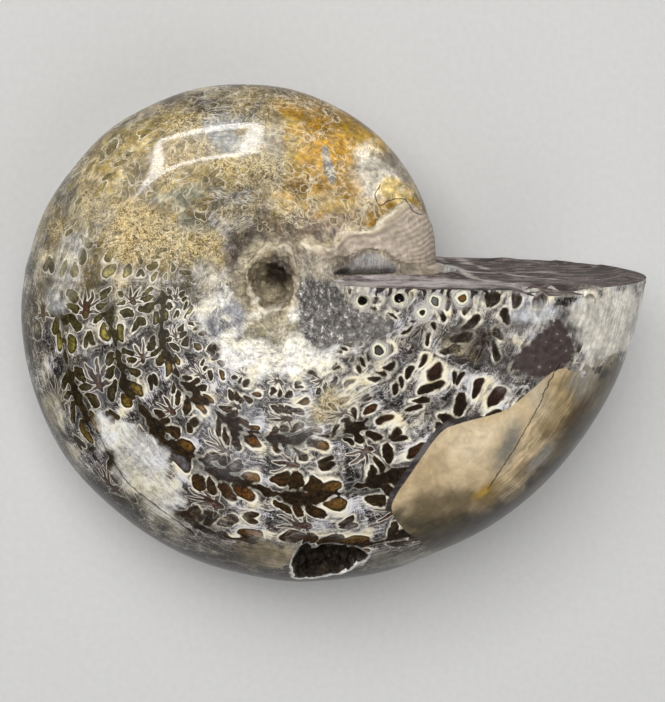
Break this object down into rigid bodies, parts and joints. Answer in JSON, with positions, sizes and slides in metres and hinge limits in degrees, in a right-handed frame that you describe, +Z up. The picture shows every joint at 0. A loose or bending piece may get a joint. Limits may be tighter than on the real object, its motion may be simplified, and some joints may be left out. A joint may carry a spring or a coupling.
{
  "type": "whole ammonite fossil with a sawn last whorl",
  "caption": "Whole ammonite fossil lying on its flank, polished to show leaf-like sutures, with a small umbilicus and a flat sawn face across its last whorl.",
  "frame": {"origin": "middle of the bounding box at its base, on the surface the fossil lies on", "axes": "+X towards the outer end of the last whorl, +Y the way the sawn face looks, +Z up; the coil axis leans about 6 degrees from +Z because the last whorl is thicker"},
  "size_m": [0.1388, 0.1114, 0.0551],
  "materials": {
    "polished_fossil": "polished calcite and aragonite: cream suture rims round olive, amber and near-black leaves, with golden, beige and grey patches and a matt brown sawn face"
  },
  "bodies": {
    "root": {"ammonite_fossil": "polished_fossil"}
  },
  "joints": []
}
